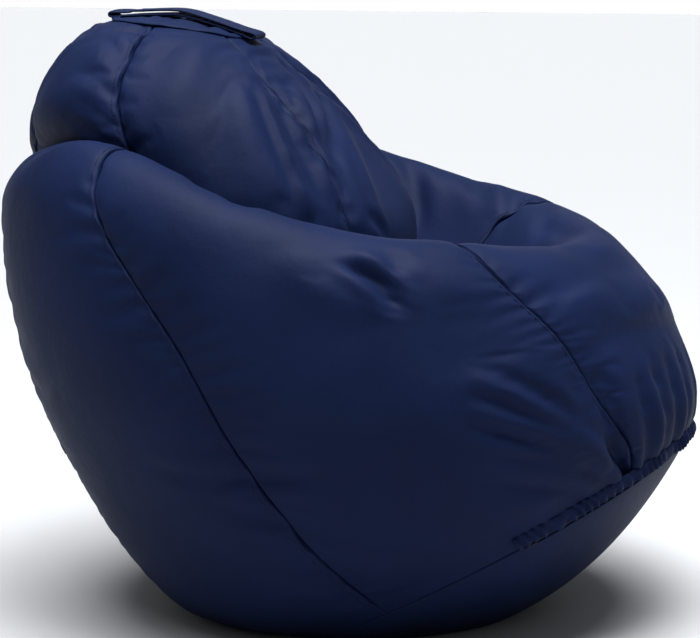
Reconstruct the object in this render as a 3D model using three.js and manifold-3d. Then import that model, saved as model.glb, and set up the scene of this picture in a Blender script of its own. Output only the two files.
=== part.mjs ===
// Bean bag chair in its armchair shape: a pear cut of six gores on a round-cornered base, with a cap,
// a carry loop, a zipper round the front of the base, and a bead-filled liner bag inside.
// Millimetres. X runs across the arms, -Y is the way a sitter faces, +Z is up and the floor is Z = 0.
import * as THREE from 'three';
import { mergeVertices } from 'three/addons/utils/BufferGeometryUtils.js';
import Module from 'manifold-3d';

const wasm = await Module();
wasm.setup();

const radians = THREE.MathUtils.degToRad;

// ---- Driving dimensions ----
const bag = { breadth: 883, height: 806 };
const cover = { thickness: 2, seamShare: 0.45, floorLift: 1 };   // seamShare: a seam's gap for the thickness
const base = { radius: 308, tilt: radians(28.8), bulge: 110, frontReach: 0.5266 };
const cap = { radius: 93 };
const zipper = {
  span: radians(60),          // from the front to each end, as a gore angle
  slotHalf: 5,                // bare strip between the panel edges, half its width
  tape: { width: 13, thickness: 1, inset: 0.6 },      // inset: from the teeth's back out to the tape's face
  teeth: { slot: 1.2, width: 2.1, thickness: 2.6 },   // slot: half the gap where the two rows meet
  tail: radians(1),           // bare tape past each end stop
  cant: radians(8.6),         // how much more upright the slider stands than the fabric, on average
};
const slider = { length: 14, halfWidth: 4.3, plate: 1.3, postWidth: 0.8, postLength: 5, bridge: 2.4 };
const stop = { length: 4, thickness: 3.2, gap: 2 };          // gap: from a stop to the first tooth
const band = { width: 19, thickness: 1.6, flare: 5, lift: 0.7 };
const liner = { inset: 5.2, thickness: 1.2, zipperLength: 200, zipperBack: 115 };
const fill = { gap: 0.8, channelDepth: 4.6, channelSide: 4 };
const handle = { width: 48, thickness: 3, tip: 20, rise: 21, turnRadius: 4, lift: 2.2 };
const clearance = 0.3;

// ---- Outline of the filled bag ----
// Each ring gives its centre along Y, then its reach and height at the front, the front corners, the
// sides, the back corners and the back. Reaches are shares of the breadth, heights of the height.
// The twist draws the side seams back towards the headrest.
const upperRings = [
  { y: -0.091, reach: [0.447, 0.447, 0.425, 0.396, 0.385], up: [0.372, 0.323, 0.180, 0.062, 0.043], twist: 0.03 },
  { y: 0.0, reach: [0.515, 0.510, 0.487, 0.464, 0.459], up: [0.447, 0.416, 0.354, 0.310, 0.310], twist: 0.06 },
  { y: 0.034, reach: [0.521, 0.515, 0.498, 0.493, 0.493], up: [0.521, 0.521, 0.521, 0.533, 0.533], twist: 0.18 },
  { y: 0.057, reach: [0.487, 0.487, 0.476, 0.476, 0.481], up: [0.589, 0.620, 0.670, 0.713, 0.682], twist: 0.42 },
  { y: 0.057, reach: [0.442, 0.430, 0.436, 0.436, 0.462], up: [0.620, 0.658, 0.732, 0.800, 0.733], twist: 0.50 },
  { y: 0.057, reach: [0.379, 0.357, 0.379, 0.379, 0.455], up: [0.602, 0.633, 0.720, 0.806, 0.745], twist: 0.52 },
  { y: 0.068, reach: [0.317, 0.294, 0.328, 0.351, 0.441], up: [0.521, 0.546, 0.633, 0.775, 0.757], twist: 0.53 },
  { y: 0.091, reach: [0.249, 0.227, 0.289, 0.317, 0.419], up: [0.453, 0.471, 0.558, 0.738, 0.769], twist: 0.50 },
  { y: 0.136, reach: [0.227, 0.243, 0.274, 0.294, 0.379], up: [0.521, 0.533, 0.620, 0.765, 0.784], twist: 0.38 },
  { y: 0.159, reach: [0.227, 0.272, 0.290, 0.318, 0.345], up: [0.658, 0.670, 0.740, 0.828, 0.831], twist: 0.36 },
  { y: 0.204, reach: [0.176, 0.227, 0.268, 0.284, 0.272], up: [0.802, 0.804, 0.850, 0.886, 0.892], twist: 0.30 },
  { y: 0.243, reach: [0.136, 0.164, 0.198, 0.204, 0.187], up: [0.898, 0.915, 0.940, 0.957, 0.960], twist: 0.20 },
];
const capRing = { y: 0.272, up: [0.965, 0.975, 0.988, 0.994, 0.994], twist: 0.10 };
const crownHeight = 0.998;
const baseShares = [0, 0.25, 0.5, 0.75, 1];      // rings of the base, as shares of its radius
const baseTwist = [0.24, -0.08];                 // how the base corners sit round the circle

const baseEdge = baseShares.length - 1;          // ring numbers where the panels meet
const capEdge = baseEdge + upperRings.length + 1;
const crown = capEdge + 1;

// The base circle: its centre, its outward direction at the front, and its axis pointing up and back.
const baseBack = new THREE.Vector3(0, Math.cos(base.tilt), -Math.sin(base.tilt));
const baseAxis = new THREE.Vector3(0, Math.sin(base.tilt), Math.cos(base.tilt));
const baseCentre = new THREE.Vector3(
  0,
  -base.frontReach * bag.breadth + base.radius * Math.cos(base.tilt),
  base.bulge * Math.cos(base.tilt),
);

// Coefficients of the cosine series through five values, 45 degrees apart from front to back.
function cosineFit(values) {
  const last = values.length - 1;
  return values.map((_, k) => {
    let sum = 0;
    values.forEach((value, i) => {
      const share = i === 0 || i === last ? 0.5 : 1;
      sum += share * value * Math.cos(Math.PI * k * i / last);
    });
    return sum * (k === 0 || k === last ? 1 : 2) / last;
  });
}

function cosineSum(coefficients, angle) {
  return coefficients.reduce((sum, value, k) => sum + value * Math.cos(k * angle), 0);
}

function baseCircleAngle(gore) {
  return gore + baseTwist[0] * Math.sin(gore) + baseTwist[1] * Math.sin(2 * gore);
}

function baseRing(share) {
  return (gore) => {
    const angle = baseCircleAngle(gore);
    const reach = share * base.radius;
    const sag = base.bulge * (1 - share * share);
    return new THREE.Vector3(reach * Math.sin(angle), 0, 0)
      .add(baseCentre)
      .addScaledVector(baseBack, -reach * Math.cos(angle))
      .addScaledVector(baseAxis, -sag);
  };
}

function bodyRing({ y, reach, up, twist }) {
  const reachFit = cosineFit(reach);
  const upFit = cosineFit(up);
  return (gore) => {
    const angle = gore + twist * Math.sin(gore);
    const out = cosineSum(reachFit, angle) * bag.breadth;
    return new THREE.Vector3(
      out * Math.sin(angle),
      y * bag.breadth - out * Math.cos(angle),
      cosineSum(upFit, angle) * bag.height,
    );
  };
}

const rings = [
  ...baseShares.map(baseRing),
  ...upperRings.map(bodyRing),
  bodyRing({ ...capRing, reach: Array(5).fill(cap.radius / bag.breadth) }),
  () => new THREE.Vector3(0, capRing.y * bag.breadth, crownHeight * bag.height),
];

// A point of the outer surface: gore is the angle round the bag from the front, level runs through the
// rings from the middle of the base to the crown. Nothing lies lower than floor.
function surfacePoint(gore, level, floor) {
  const k = Math.min(Math.floor(level), crown - 1);
  const t = level - k;
  const [a, b, c, d] = [k - 1, k, k + 1, k + 2]
    .map((i) => rings[THREE.MathUtils.clamp(i, 0, crown)](gore));
  const point = new THREE.Vector3();
  for (const axis of ['x', 'y', 'z']) {
    const bend = 2 * a[axis] - 5 * b[axis] + 4 * c[axis] - d[axis];
    const twist = -a[axis] + 3 * b[axis] - 3 * c[axis] + d[axis];
    point[axis] = 0.5 * (2 * b[axis] + t * (c[axis] - a[axis] + t * (bend + t * twist)));
  }
  point.z = Math.max(point.z, floor);
  return point;
}

const nearStep = 1e-3;                            // for lengths measured at a point
const wideStep = { gore: 0.05, level: 0.3 };      // for directions, so that tight creases turn smoothly

function alongGore(gore, level, floor, step = nearStep) {
  return surfacePoint(gore + step, level, floor)
    .sub(surfacePoint(gore - step, level, floor))
    .divideScalar(2 * step);
}

function alongLevel(gore, level, floor, step = nearStep) {
  const low = Math.max(level - step, 0);
  const high = Math.min(level + step, crown);
  return surfacePoint(gore, high, floor)
    .sub(surfacePoint(gore, low, floor))
    .divideScalar(high - low);
}

function surfaceNormal(gore, level, floor) {
  if (level === 0) return new THREE.Vector3(0, 0, -1);
  if (level === crown) return new THREE.Vector3(0, 0, 1);
  return alongGore(gore, level, floor, wideStep.gore)
    .cross(alongLevel(gore, level, floor, wideStep.level))
    .normalize();
}

function offsetPoint(gore, level, depth, floor) {
  return surfacePoint(gore, level, floor)
    .addScaledVector(surfaceNormal(gore, level, floor), -depth);
}

// The level that lies a distance above (or, if negative, below) another, measured on the fabric.
function levelAt(gore, level, distance) {
  return level + distance / alongLevel(gore, level, 0).length();
}

// How far the fabric moves square to the seam, for each radian of gore angle.
function acrossSeam(gore, level) {
  return alongGore(gore, level, 0).cross(alongLevel(gore, level, 0).normalize()).length();
}

// ---- Building solids ----
function geometryOf(points, faces) {
  const geometry = new THREE.BufferGeometry();
  geometry.setAttribute('position', new THREE.Float32BufferAttribute(points.flatMap((p) => p.toArray()), 3));
  geometry.setIndex(faces.flat());
  return geometry;
}

function spread(from, to, steps) {
  return Array.from({ length: steps + 1 }, (_, i) => from + (to - from) * i / steps);
}

const seamProbe = 1e-6;

// A grid of points; a row at a pole is a single point, so that it has no empty triangles. The four-sided
// cells are split the opposite way on the left, so that the two sides mirror each other.
function gridSkin(points, rows, columns, round, pointAt, outward) {
  const index = rows.map((row) => {
    const pole = row === 0 || row === crown;
    const first = points.length;
    if (pole) points.push(pointAt(columns[0], row));
    else columns.forEach((column, c) => points.push(pointAt(column, row, c)));
    return columns.map((_, c) => (pole ? first : first + c));
  });
  const faces = [];
  const turns = round ? columns.length : columns.length - 1;
  for (let r = 0; r + 1 < rows.length; r += 1) {
    for (let c = 0; c < turns; c += 1) {
      const next = (c + 1) % columns.length;
      const [a, b, d, e] = [index[r][c], index[r][next], index[r + 1][next], index[r + 1][c]];
      const onLeft = Math.sin(columns[c] + seamProbe) > 0;
      for (const face of onLeft ? [[a, b, e], [b, d, e]] : [[a, b, d], [a, d, e]]) {
        if (new Set(face).size === 3) faces.push(outward ? face : [face[0], face[2], face[1]]);
      }
    }
  }
  return { index, faces };
}

function wall(outer, inner) {
  const faces = [];
  for (let i = 0; i + 1 < outer.length; i += 1) {
    faces.push([outer[i], inner[i + 1], inner[i]], [outer[i], outer[i + 1], inner[i + 1]]);
  }
  return faces;
}

// A sheet of fabric lying between two depths below the outer surface. Its side edges stand back from
// the seams by sideGap, and its bottom and top edges are lines given as functions of the gore angle.
function sheetGeometry({ columns, rows, round = false, sideGap = 0, bottom, top, outer, inner, floor }) {
  const lastColumn = columns.length - 1;
  const pointAt = (depth) => (column, row, c) => {
    let level = row;
    if (row === rows[0] && bottom) level = bottom(column);
    if (row === rows.at(-1) && top) level = top(column);
    let gore = column;
    if (!round && c === 0) gore += sideGap / acrossSeam(column, level);
    if (!round && c === lastColumn) gore -= sideGap / acrossSeam(column, level);
    return offsetPoint(gore, level, typeof depth === 'function' ? depth(row) : depth, floor);
  };
  const points = [];
  const skin = gridSkin(points, rows, columns, round, pointAt(outer), true);
  const lining = gridSkin(points, rows, columns, round, pointAt(inner), false);
  const faces = [...skin.faces, ...lining.faces];
  const closeRow = (row) => (round ? [...row, row[0]] : row);
  const [first, last] = [0, rows.length - 1];
  if (rows[first] !== 0) {
    faces.push(...wall(closeRow(skin.index[first]).toReversed(), closeRow(lining.index[first]).toReversed()));
  }
  if (rows[last] !== crown) {
    faces.push(...wall(closeRow(skin.index[last]), closeRow(lining.index[last])));
  }
  if (!round) {
    const side = (grid, c) => grid.index.map((row) => row[c]);
    faces.push(...wall(side(skin, 0), side(lining, 0)));
    faces.push(...wall(side(skin, lastColumn).toReversed(), side(lining, lastColumn).toReversed()));
  }
  return geometryOf(points, faces);
}

function manifoldOf(geometry) {
  const bare = geometry.clone();
  bare.deleteAttribute('normal');
  bare.deleteAttribute('uv');
  const merged = mergeVertices(bare, 1e-5);
  return new wasm.Manifold(new wasm.Mesh({
    numProp: 3,
    vertProperties: new Float32Array(merged.attributes.position.array),
    triVerts: new Uint32Array(merged.index.array),
  }));
}

function geometryFrom(manifold) {
  const { vertProperties, triVerts } = manifold.getMesh();
  const geometry = new THREE.BufferGeometry();
  geometry.setAttribute('position', new THREE.Float32BufferAttribute(vertProperties, 3));
  geometry.setIndex(Array.from(triVerts));
  return geometry;
}

// A box from its lowest to its highest corner.
function boxGeometry(low, high) {
  const size = high.map((value, i) => value - low[i]);
  return new THREE.BoxGeometry(...size)
    .translate(...low.map((value, i) => value + size[i] / 2));
}

function joined(geometries) {
  return geometryFrom(geometries.map(manifoldOf).reduce((whole, piece) => whole.add(piece)));
}

function cut(geometry, tools) {
  const remainder = tools.map(manifoldOf)
    .reduce((whole, tool) => whole.subtract(tool), manifoldOf(geometry));
  return geometryFrom(remainder);
}

// ---- Materials ----
const materials = {
  cover: new THREE.MeshStandardMaterial({ color: '#1c2d59', roughness: 0.55, metalness: 0 }),
  strap: new THREE.MeshStandardMaterial({ color: '#203468', roughness: 0.55, metalness: 0 }),
  tape: new THREE.MeshStandardMaterial({ color: '#141d3a', roughness: 0.8, metalness: 0 }),
  coil: new THREE.MeshStandardMaterial({ color: '#10162b', roughness: 0.4, metalness: 0 }),
  metal: new THREE.MeshStandardMaterial({ color: '#3a3d44', roughness: 0.35, metalness: 1 }),
  liner: new THREE.MeshStandardMaterial({ color: '#e4e4e0', roughness: 0.8, metalness: 0 }),
  beads: new THREE.MeshStandardMaterial({ color: '#f4f4f2', roughness: 0.7, metalness: 0 }),
};

const bagGroup = new THREE.Group();

function place(name, geometry, material, parent = bagGroup) {
  const mesh = new THREE.Mesh(geometry, material);
  mesh.name = name;
  parent.add(mesh);
  return mesh;
}

// ---- Cover: six gores, the base panel and the cap ----
const goreWidth = radians(60);
const seams = [-150, -90, -30, 30, 90, 150].map(radians);
const goreNames = ['back_right', 'front_right', 'front', 'front_left', 'back_left', 'back'];
const hemRow = 0.3;          // a row this far from the base edge, in levels, holds the fabric to the zipper
const rimStart = baseEdge + 4;        // the rim and the hollow inside it take two rows to a level
const rimEnd = baseEdge + 10;
const bodyRows = [
  baseEdge,
  baseEdge + hemRow,
  ...spread(baseEdge + 1, rimStart - 1, rimStart - baseEdge - 2),
  ...spread(rimStart, rimEnd, 2 * (rimEnd - rimStart)),
  ...spread(rimEnd + 1, capEdge, capEdge - rimEnd - 1),
];
const baseRows = [...spread(0, baseEdge - 1, baseEdge - 1), baseEdge - hemRow, baseEdge];
const halfGap = cover.seamShare * cover.thickness / 2;
const zipperEndGap = radians(3);
const columnCount = { frontGore: 10, backGore: 6, inner: 40, zipper: 36, band: 24 };

// Half the gap between the base panel and the gores: the zipper's slot at the front, a seam elsewhere.
function edgeGap(gore) {
  const past = THREE.MathUtils.clamp(Math.abs(gore) - zipper.span, 0, zipperEndGap);
  return THREE.MathUtils.mapLinear(past, 0, zipperEndGap, zipper.slotHalf, halfGap);
}

function wrapped(angle) {
  return Math.atan2(Math.sin(angle), Math.cos(angle));
}

function goreColumns(start) {
  const middle = wrapped(start + goreWidth / 2);
  const inFront = Math.abs(middle) < Math.PI / 2;
  const columns = spread(start, start + goreWidth, inFront ? columnCount.frontGore : columnCount.backGore);
  const zipperEnd = Math.sign(middle) * (zipper.span + zipperEndGap);
  if (inFront && zipperEnd > start && zipperEnd < start + goreWidth) columns.push(zipperEnd);
  return columns.sort((a, b) => a - b);
}

function addGores() {
  seams.forEach((start, i) => {
    const geometry = sheetGeometry({
      columns: goreColumns(start),
      rows: bodyRows,
      sideGap: halfGap,
      bottom: (gore) => levelAt(gore, baseEdge, edgeGap(wrapped(gore))),
      top: (gore) => levelAt(gore, capEdge, -halfGap),
      outer: 0,
      inner: cover.thickness,
      floor: cover.floorLift,
    });
    place(`${goreNames[i]}_panel`, geometry, materials.cover);
  });
}

const ringColumns = seams.flatMap((start) => goreColumns(start).slice(0, -1));
const innerColumns = spread(0, 2 * Math.PI, columnCount.inner).slice(0, -1);

function addBaseAndCap() {
  const basePanel = sheetGeometry({
    columns: ringColumns,
    rows: baseRows,
    round: true,
    top: (gore) => levelAt(gore, baseEdge, -edgeGap(wrapped(gore))),
    outer: 0,
    inner: cover.thickness,
    floor: 0,
  });
  const topCap = sheetGeometry({
    columns: innerColumns,
    rows: spread(capEdge, crown, 2),
    round: true,
    bottom: (gore) => levelAt(gore, capEdge, halfGap),
    outer: 0,
    inner: cover.thickness,
    floor: 0,
  });
  place('base_panel', basePanel, materials.cover);
  place('top_cap', topCap, materials.cover);
}

// ---- Zipper round the front of the base ----
// Every fixed strip follows the fabric at its own distance above or below the base circle.
function zipperStrip({ from, to, start, end, outer, inner, steps }) {
  return sheetGeometry({
    columns: spread(start, end, steps),
    rows: [baseEdge, baseEdge + 1],
    bottom: (gore) => levelAt(gore, baseEdge, Math.min(from, to)),
    top: (gore) => levelAt(gore, baseEdge, Math.max(from, to)),
    outer,
    inner,
    floor: 0,
  });
}

const teethDepth = cover.thickness / 2;
const tapeDepth = teethDepth + zipper.teeth.thickness - zipper.tape.inset;
const stopDepth = teethDepth - (stop.thickness - zipper.teeth.thickness) / 2;
const teethEnd = zipper.teeth.slot + zipper.teeth.width;
const chainEnd = zipper.span - zipper.tail;
const stopAngle = stop.length / base.radius;
const teethStart = chainEnd - (stop.length + stop.gap) / base.radius;

function addZipper() {
  for (const [name, side] of [['upper', 1], ['lower', -1]]) {
    const tape = zipperStrip({
      from: side * (teethEnd + clearance),
      to: side * (teethEnd + clearance + zipper.tape.width),
      start: -zipper.span,
      end: zipper.span,
      outer: tapeDepth,
      inner: tapeDepth + zipper.tape.thickness,
      steps: columnCount.zipper,
    });
    const teeth = zipperStrip({
      from: side * zipper.teeth.slot,
      to: side * teethEnd,
      start: -teethStart,
      end: teethStart,
      outer: teethDepth,
      inner: teethDepth + zipper.teeth.thickness,
      steps: columnCount.zipper,
    });
    const topStop = zipperStrip({
      from: side * zipper.teeth.slot,
      to: side * teethEnd,
      start: -chainEnd,
      end: -chainEnd + stopAngle,
      outer: stopDepth,
      inner: stopDepth + stop.thickness,
      steps: 1,
    });
    place(`zipper_tape_${name}`, tape, materials.tape);
    place(`zipper_teeth_${name}`, teeth, materials.coil);
    place(`zipper_top_stop_${name}`, topStop, materials.metal);
  }
  const bottomStop = zipperStrip({
    from: -teethEnd,
    to: teethEnd,
    start: chainEnd - stopAngle,
    end: chainEnd,
    outer: stopDepth,
    inner: stopDepth + stop.thickness,
    steps: 1,
  });
  place('zipper_bottom_stop', bottomStop, materials.metal);
}

// The gathered edge of the front gores, stitched down as a band that flares out above the slot.
function addGatheringBand() {
  const lift = (row) => -band.lift - band.flare * (1 - (row - baseEdge));
  const geometry = sheetGeometry({
    columns: spread(-zipper.span, zipper.span, columnCount.band),
    rows: [baseEdge, baseEdge + 1],
    bottom: (gore) => levelAt(gore, baseEdge, zipper.slotHalf + clearance),
    top: (gore) => levelAt(gore, baseEdge, zipper.slotHalf + clearance + band.width),
    outer: (row) => lift(row) - band.thickness,
    inner: lift,
    floor: 0,
  });
  place('gathering_band', geometry, materials.cover);
}

// A slider built flat: X along the chain, Y across it, Z outwards, with Z = 0 at the fabric's face. Its
// two plates are joined by a post between the rows of teeth, and a bridge stands on the outer plate.
function sliderGeometry(innerFace, outerFace) {
  const { length, halfWidth, plate, postWidth, postLength, bridge } = slider;
  const end = length / 2;
  const bridgeEnd = length / 3;
  const top = outerFace + plate;
  const block = (x, y, z) => boxGeometry([x[0], y[0], z[0]], [x[1], y[1], z[1]]);
  const both = (half) => [-half, half];
  return joined([
    block(both(end), both(halfWidth), [outerFace, top]),
    block(both(end), both(halfWidth), [innerFace - plate, innerFace]),
    block([end - postLength, end], both(postWidth / 2), [innerFace - plate / 2, outerFace + plate / 2]),
    block([-bridgeEnd, plate - bridgeEnd], both(plate), [top - plate / 2, top + bridge]),
    block([bridgeEnd - plate, bridgeEnd], both(plate), [top - plate / 2, top + bridge]),
    block(both(bridgeEnd), both(plate), [top + bridge - plate, top + bridge]),
  ]);
}

const sliderRoom = 1.5;      // between each slider plate and the strips that it runs over
const sliderStart = (stop.length + stop.gap + slider.length / 2) / base.radius;
const sliderAngle = sliderStart - baseCircleAngle(chainEnd);

// A direction leaning from one unit vector towards another that is square to it.
function leaning(from, towards, angle) {
  return from.clone().multiplyScalar(Math.cos(angle)).addScaledVector(towards, Math.sin(angle));
}

function baseOut(angle) {
  return leaning(baseBack.clone().negate(), new THREE.Vector3(1, 0, 0), angle);
}

// How far the fabric at the base edge faces down from the base circle's outward direction.
function fabricLean(gore) {
  const normal = surfaceNormal(gore, baseEdge, 0);
  return Math.atan2(-normal.dot(baseAxis), normal.dot(baseOut(baseCircleAngle(gore))));
}

function addZipperSlider() {
  const lean = (fabricLean(0) + fabricLean(chainEnd)) / 2 - zipper.cant;
  const out = baseOut(sliderAngle);
  const across = leaning(baseAxis, out, lean);
  const outwards = leaning(out, baseAxis, -lean);
  const along = across.clone().cross(outwards);
  const innerFace = -teethDepth - zipper.teeth.thickness - sliderRoom;
  const mesh = place('zipper_slider', sliderGeometry(innerFace, sliderRoom - teethDepth), materials.metal);
  mesh.quaternion.setFromRotationMatrix(new THREE.Matrix4().makeBasis(along, across, outwards));
  mesh.position.copy(baseCentre).addScaledVector(out, base.radius);
}

// ---- Liner bag, its zipper and the beads ----
const linerDepth = cover.thickness + liner.inset;
const linerFloor = cover.floorLift + linerDepth;
const fillDepth = linerDepth + liner.thickness + fill.gap;
const linerZipper = {
  y: baseCentre.y + liner.zipperBack,
  half: liner.zipperLength / 2,
  low: linerFloor + liner.thickness / 2 - zipper.teeth.thickness / 2,
};

const overrun = 1;           // how far a cutting block runs past what it cuts

function addLiner() {
  const slotEnd = linerZipper.half + stop.length;
  const slot = boxGeometry(
    [-slotEnd, linerZipper.y - zipper.slotHalf, linerFloor - overrun],
    [slotEnd, linerZipper.y + zipper.slotHalf, linerFloor + liner.thickness + overrun],
  );
  const linerBase = sheetGeometry({
    columns: innerColumns,
    rows: baseRows,
    round: true,
    top: (gore) => levelAt(gore, baseEdge, -halfGap),
    outer: linerDepth,
    inner: linerDepth + liner.thickness,
    floor: cover.floorLift,
  });
  place('liner_base', cut(linerBase, [slot]), materials.liner);
  place('liner_body', sheetGeometry({
    columns: innerColumns,
    rows: [...bodyRows, crown],
    round: true,
    bottom: (gore) => levelAt(gore, baseEdge, halfGap),
    outer: linerDepth,
    inner: linerDepth + liner.thickness,
    floor: cover.floorLift,
  }), materials.liner);
}

function addLinerZipper() {
  const { y, half, low } = linerZipper;
  const sliderHalf = slider.length / 2;
  const tapeHalf = half + stop.length;
  const teethHigh = low + zipper.teeth.thickness;
  const tapeLow = linerFloor + liner.thickness + clearance;
  const tapeHigh = tapeLow + zipper.tape.thickness;
  for (const [name, side] of [['front', -1], ['back', 1]]) {
    const across = (a, b) => [y + side * a, y + side * b].sort((p, q) => p - q);
    const [teethNear, teethFar] = across(zipper.teeth.slot, teethEnd);
    const [tapeNear, tapeFar] = across(teethEnd + clearance, teethEnd + clearance + zipper.tape.width);
    const teeth = boxGeometry([-half, teethNear, low], [half, teethFar, teethHigh]);
    const tape = boxGeometry([-tapeHalf, tapeNear, tapeLow], [tapeHalf, tapeFar, tapeHigh]);
    place(`liner_zipper_teeth_${name}`, teeth, materials.coil);
    place(`liner_zipper_tape_${name}`, tape, materials.liner);
  }
  for (const [name, side] of [['right', -1], ['left', 1]]) {
    const ends = [side * (half + clearance), side * (tapeHalf - clearance)].sort((p, q) => p - q);
    const stopBlock = boxGeometry([ends[0], y - teethEnd, low], [ends[1], y + teethEnd, teethHigh]);
    place(`liner_zipper_stop_${name}`, stopBlock, materials.metal);
  }
  const runner = sliderGeometry(-teethHigh - sliderRoom, sliderRoom - low);
  const mesh = place('liner_zipper_slider', runner, materials.metal);
  mesh.rotation.x = Math.PI;
  mesh.position.set(-half + sliderHalf + clearance, y, 0);
}

function addBeads() {
  const points = [];
  const rows = [...baseRows, ...bodyRows.slice(1), crown];
  const pointAt = (gore, level) => offsetPoint(gore, level, fillDepth, cover.floorLift);
  const { faces } = gridSkin(points, rows, innerColumns, true, pointAt, true);
  const channelEnd = linerZipper.half + stop.length + fill.channelSide;
  const channelHalf = zipper.slotHalf + zipper.tape.width + fill.channelSide;
  const channelTop = linerFloor + liner.thickness + fill.channelDepth;
  const channel = boxGeometry(
    [-channelEnd, linerZipper.y - channelHalf, 0],
    [channelEnd, linerZipper.y + channelHalf, channelTop],
  );
  place('bead_fill', cut(geometryOf(points, faces), [channel]), materials.beads);
}

// ---- Carry loop: a folded strap sewn into the back of the cap seam and lying forward over the cap ----
const handleRest = handle.thickness / 2 + handle.lift;
const handleHinge = surfacePoint(Math.PI, capEdge, 0)
  .addScaledVector(surfaceNormal(Math.PI, capEdge, 0), handle.turnRadius + handleRest);

// The loop's middle line in the Y-Z plane: under layer forwards, then the tip, then back over the top.
// Points over the cap are named by how far they are past its edge; shares are of the tip and the rise.
const handlePointSteps = 4;
const handleShares = { turnBack: 0.3, shoulder: 0.6, tipMiddle: 0.35, tipTop: 0.7, slope: 0.85 };
const handleLevels = { back: capEdge + 0.5, front: capEdge + 0.4 };

function handleLine() {
  const { tip, rise, turnRadius } = handle;
  const shares = handleShares;
  const onCap = (gore, level) => {
    const point = surfacePoint(gore, level, 0);
    return new THREE.Vector2(point.y, point.z + handleRest);
  };
  const moved = (point, y, z) => point.clone().add(new THREE.Vector2(y, z));
  const under = [onCap(Math.PI, handleLevels.back), onCap(0, crown), onCap(0, handleLevels.front)];
  const front = onCap(0, capEdge);
  const hinge = new THREE.Vector2(handleHinge.y, handleHinge.z);
  const points = [
    moved(hinge, turnRadius * shares.turnBack, -turnRadius),
    ...under,
    moved(front, -tip * shares.shoulder, 0),
    moved(front, -tip, rise * shares.tipMiddle),
    moved(front, -tip * shares.shoulder, rise * shares.tipTop),
    moved(under[2], 0, rise * shares.slope),
    moved(under[1], 0, rise),
    moved(under[0], 0, rise * shares.slope),
    moved(hinge, turnRadius * shares.turnBack, turnRadius),
    moved(hinge, turnRadius, 0),
  ];
  const curve = new THREE.CatmullRomCurve3(points.map((p) => new THREE.Vector3(p.x, p.y, 0)), true);
  return curve.getPoints(handlePointSteps * points.length)
    .slice(0, -1)
    .map((p) => new THREE.Vector2(p.x, p.y));
}

function offsetLoop(line, distance) {
  return line.map((point, i) => {
    const before = line.at(i - 1);
    const after = line[(i + 1) % line.length];
    const along = after.clone().sub(before).normalize();
    return point.clone().add(new THREE.Vector2(along.y, -along.x).multiplyScalar(distance));
  });
}

function addHandle() {
  const line = handleLine();
  const turnsLeft = THREE.ShapeUtils.area(line) > 0 ? 1 : -1;
  const block = (side, past) => new THREE.ExtrudeGeometry(
    new THREE.Shape(offsetLoop(line, side * turnsLeft * handle.thickness / 2)),
    { depth: handle.width + 2 * past, bevelEnabled: false },
  ).translate(0, 0, -past);
  const mesh = place('carry_handle', cut(block(1, 0), [block(-1, overrun)]), materials.strap);
  mesh.rotation.set(Math.PI / 2, Math.PI / 2, 0);
  mesh.position.set(-handle.width / 2, 0, 0);
}

addGores();
addBaseAndCap();
addZipper();
addGatheringBand();
addZipperSlider();
addLiner();
addLinerZipper();
addBeads();
addHandle();

// The origin is under the middle of the whole piece's outer box.
const wholeBox = new THREE.Box3().setFromObject(bagGroup, true);
const middle = wholeBox.getCenter(new THREE.Vector3());
bagGroup.position.set(-middle.x, -middle.y, 0);

const chair = new THREE.Group();
chair.add(bagGroup);
export default chair;
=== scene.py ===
# Bean bag chair in its armchair shape: six gores on a round base, a cap with a carry loop on top, and a
# zipper with a gathered edge round the front of the base. Metres, +Z up, -Y is the way a sitter faces.
import math

import bmesh
import bpy
import numpy as np
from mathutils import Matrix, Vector, noise


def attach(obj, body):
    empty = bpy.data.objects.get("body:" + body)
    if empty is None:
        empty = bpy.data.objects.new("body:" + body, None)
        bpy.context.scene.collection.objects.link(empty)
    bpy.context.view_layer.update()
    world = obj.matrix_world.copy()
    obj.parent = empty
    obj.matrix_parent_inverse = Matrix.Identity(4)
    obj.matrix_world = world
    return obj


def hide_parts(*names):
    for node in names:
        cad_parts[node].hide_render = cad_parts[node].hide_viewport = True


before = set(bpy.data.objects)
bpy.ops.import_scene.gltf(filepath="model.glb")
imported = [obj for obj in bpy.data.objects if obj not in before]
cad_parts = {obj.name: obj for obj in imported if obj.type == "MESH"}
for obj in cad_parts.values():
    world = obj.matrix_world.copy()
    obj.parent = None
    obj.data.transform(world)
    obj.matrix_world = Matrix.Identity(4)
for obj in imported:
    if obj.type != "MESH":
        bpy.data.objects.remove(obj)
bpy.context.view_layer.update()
scene = bpy.context.scene
print("frame loaded")


# ---- small helpers ----
def linear(hexColour):
    # sRGB hex to the linear values that shaders use
    parts = [int(hexColour[i:i + 2], 16) / 255 for i in (1, 3, 5)]
    return [c / 12.92 if c <= 0.04045 else ((c + 0.055) / 1.055) ** 2.4 for c in parts] + [1.0]


def addNode(tree, kind, inputs=None, links=None, **settings):
    node = tree.nodes.new(kind)
    for name, value in settings.items():
        setattr(node, name, value)
    for name, value in (inputs or {}).items():
        node.inputs[name].default_value = value
    for name, source in (links or {}).items():
        tree.links.new(source, node.inputs[name])
    return node


def newObject(name, mesh):
    thing = bpy.data.objects.new(name, mesh)
    scene.collection.objects.link(thing)
    return thing


def meshFrom(name, bm):
    mesh = bpy.data.meshes.new(name)
    bm.to_mesh(mesh)
    bm.free()
    return mesh


def smoothShade(mesh):
    mesh.polygons.foreach_set("use_smooth", np.ones(len(mesh.polygons), bool))


def pointsOf(mesh):
    flat = np.zeros(len(mesh.vertices) * 3)
    mesh.vertices.foreach_get("co", flat)
    return flat.reshape(-1, 3)


def movePoints(mesh, points):
    mesh.vertices.foreach_set("co", points.astype(np.float32).ravel())
    mesh.update()


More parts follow.
